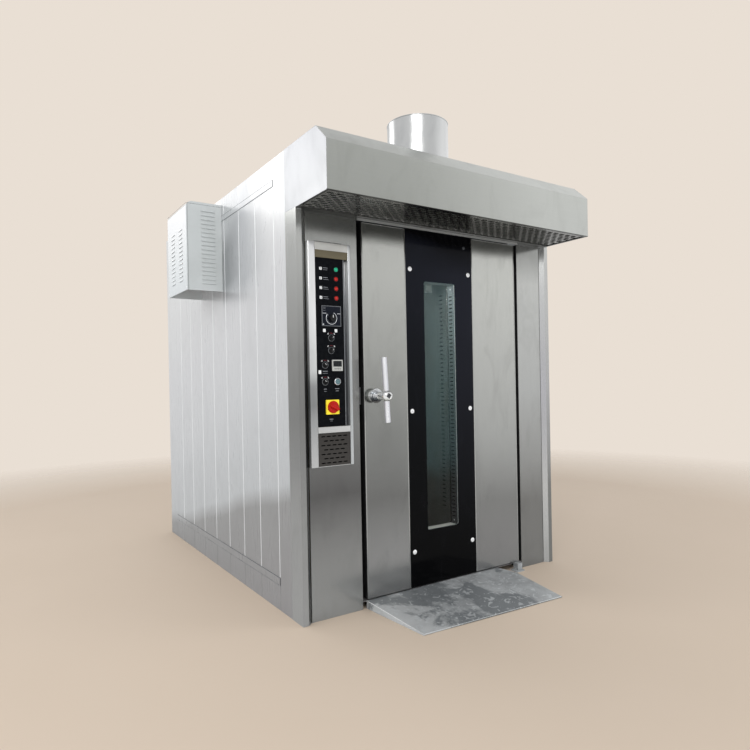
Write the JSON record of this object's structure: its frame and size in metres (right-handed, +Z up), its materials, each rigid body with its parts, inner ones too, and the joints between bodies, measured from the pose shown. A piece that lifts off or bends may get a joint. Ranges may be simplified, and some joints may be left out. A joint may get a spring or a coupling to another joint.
{
  "type": "rotating rack oven",
  "caption": "Walk-up baking oven: windowed swing door with T handle, control column, slotted extraction hood with round flue, side burner box, entry ramp and a turning trolley carrier.",
  "frame": {"origin": "centre of the cabinet's footprint, on the floor", "axes": "+Z up, +Y from the door to the back, +X to the right of someone who faces the door"},
  "size_m": [1.976, 2.766, 2.548],
  "materials": {
    "cladding_steel": "fine brushed",
    "stainless": "satin",
    "chamber_steel": "baked satin",
    "mineral_wool": "matt",
    "drive_paint": "satin",
    "burner_paint": "gloss",
    "cover_paint": "satin",
    "collar_steel": "bright",
    "rail_steel": "bright",
    "grille_steel": "satin",
    "control_tray": "satin",
    "control_black": "satin",
    "lamp_green": "clear gloss",
    "lamp_red": "clear gloss",
    "timer_black": "gloss",
    "knob_black": "satin",
    "display_grey": "satin",
    "button_metal": "bright",
    "switch_yellow": "satin",
    "switch_red": "gloss",
    "door_steel": "satin",
    "black_glass": "gloss, opaque",
    "window_glass": "clear",
    "gasket_rubber": "matt",
    "handle_steel": "polished",
    "latch_steel": "satin",
    "galvanised": "mottled galvanised"
  },
  "bodies": {
    "cabinet": {"base_frame": "cladding_steel", "left_cladding": "cladding_steel", "right_cladding": "cladding_steel", "rear_cladding": "cladding_steel", "roof_panel": "cladding_steel", "left_corner_post": "stainless", "right_corner_post": "stainless", "left_pillar_panel": "stainless", "right_pillar_panel": "stainless", "door_frame": "stainless", "chamber_left_wall": "chamber_steel", "chamber_right_wall": "chamber_steel", "chamber_rear_wall": "chamber_steel", "chamber_ceiling": "chamber_steel", "air_duct_panel": "chamber_steel", "left_insulation": "mineral_wool", "right_insulation": "mineral_wool", "ceiling_insulation": "mineral_wool", "drive_gearmotor": "drive_paint", "fan_motor": "drive_paint", "heat_exchanger": "chamber_steel", "burner": "burner_paint", "burner_cover": "cover_paint", "hood_shell": "stainless", "hood_grille": "grille_steel", "exhaust_collar": "collar_steel", "left_rail": "rail_steel", "right_rail": "rail_steel", "control_box": "control_tray", "control_plate": "control_black", "lamp_1": "lamp_green", "lamp_2": "lamp_red", "lamp_3": "lamp_red", "lamp_4": "lamp_red", "timer_plate": "timer_black", "temperature_display": "display_grey", "switch_plate": "switch_yellow", "latch_keeper": "latch_steel", "lower_hinge_bracket": "galvanised", "upper_hinge_bracket": "galvanised", "ramp": "galvanised"},
    "door": {"door_leaf": "door_steel", "door_glass": "black_glass", "window_outer_pane": "window_glass", "window_inner_pane": "window_glass", "door_liner": "chamber_steel", "door_gasket": "gasket_rubber", "escutcheon": "handle_steel"},
    "handle": {"t_handle": "handle_steel"},
    "latch": {"latch_bolt": "latch_steel"},
    "carrier": {"rack_carrier": "chamber_steel"},
    "fan": {"fan_wheel": "chamber_steel"},
    "timer_dial": {"timer_knob": "knob_black"},
    "selector_1": {"selector_knob_1": "knob_black"},
    "selector_2": {"selector_knob_2": "knob_black"},
    "selector_3": {"selector_knob_3": "knob_black"},
    "selector_4": {"selector_knob_4": "knob_black"},
    "start_button": {"push_button": "button_metal"},
    "main_switch": {"main_switch_knob": "switch_red"}
  },
  "joints": [
    {"name": "door_hinge", "type": "hinge", "parent": "cabinet", "child": "door", "pos_m": [0.576, -1.109, 1], "axis": [0, 0, 1], "range_deg": [0, 110]},
    {"name": "handle_turn", "type": "hinge", "parent": "door", "child": "handle", "pos_m": [-0.445, -1.1783, 1.088], "axis": [0, 1, 0], "range_deg": [0, 90]},
    {"name": "latch_slide", "type": "slide", "parent": "door", "child": "latch", "axis": [-1, 0, 0], "range_m": [0, 0.022]},
    {"name": "carrier_turn", "type": "hinge", "parent": "cabinet", "child": "carrier", "pos_m": [0.0475, -0.4827, 1.9], "axis": [0, 0, 1], "continuous": true},
    {"name": "fan_spin", "type": "hinge", "parent": "cabinet", "child": "fan", "pos_m": [0.0475, 0.15, 1.5], "axis": [0, 1, 0], "continuous": true},
    {"name": "timer_turn", "type": "hinge", "parent": "cabinet", "child": "timer_dial", "pos_m": [-0.695, -1.1493, 1.474], "axis": [0, 1, 0], "range_deg": [0, 300]},
    {"name": "selector_1_turn", "type": "hinge", "parent": "cabinet", "child": "selector_1", "pos_m": [-0.695, -1.1493, 1.378], "axis": [0, 1, 0], "range_deg": [-90, 0]},
    {"name": "selector_2_turn", "type": "hinge", "parent": "cabinet", "child": "selector_2", "pos_m": [-0.696, -1.1493, 1.317], "axis": [0, 1, 0], "range_deg": [-90, 0]},
    {"name": "selector_3_turn", "type": "hinge", "parent": "cabinet", "child": "selector_3", "pos_m": [-0.732, -1.1493, 1.245], "axis": [0, 1, 0], "range_deg": [0, 90]},
    {"name": "selector_4_turn", "type": "hinge", "parent": "cabinet", "child": "selector_4", "pos_m": [-0.733, -1.1493, 1.163], "axis": [0, 1, 0], "range_deg": [0, 90]},
    {"name": "start_button_press", "type": "slide", "parent": "cabinet", "child": "start_button", "axis": [0, 1, 0], "range_m": [0, 0.004], "stiffness_N_per_m": 600},
    {"name": "main_switch_turn", "type": "hinge", "parent": "cabinet", "child": "main_switch", "pos_m": [-0.697, -1.1493, 1.0395], "axis": [0, 1, 0], "range_deg": [0, 90]}
  ],
  "couplings": [
    {"joint": "latch_slide", "follows": "handle_turn", "m_per_rad": 0.014}
  ]
}
